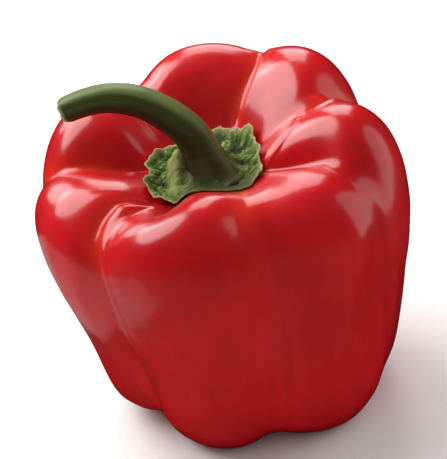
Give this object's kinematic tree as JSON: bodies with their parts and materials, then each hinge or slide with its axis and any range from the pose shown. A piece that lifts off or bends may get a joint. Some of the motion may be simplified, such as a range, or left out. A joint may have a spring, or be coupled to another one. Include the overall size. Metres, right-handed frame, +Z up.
{
  "type": "bell pepper",
  "caption": "Whole red bell pepper with rounded lobes, a green calyx in its top hollow and a curved ribbed stem, standing on its feet.",
  "frame": {"origin": "under the middle of the whole pepper's box, on the level of the feet that it stands on", "axes": "+Z up along the fruit's axis towards the stem, -X the way the stem bends, -Y the side that faces the viewer"},
  "size_m": [0.0932, 0.0896, 0.0953],
  "materials": {
    "skin": "smooth glossy waxy red skin",
    "sepals": "wrinkled satin green with a thin pale rim",
    "stalk": "finely ribbed satin green, darker below"
  },
  "bodies": {
    "root": {"fruit": "skin", "calyx": "sepals", "stem": "stalk"}
  },
  "joints": []
}
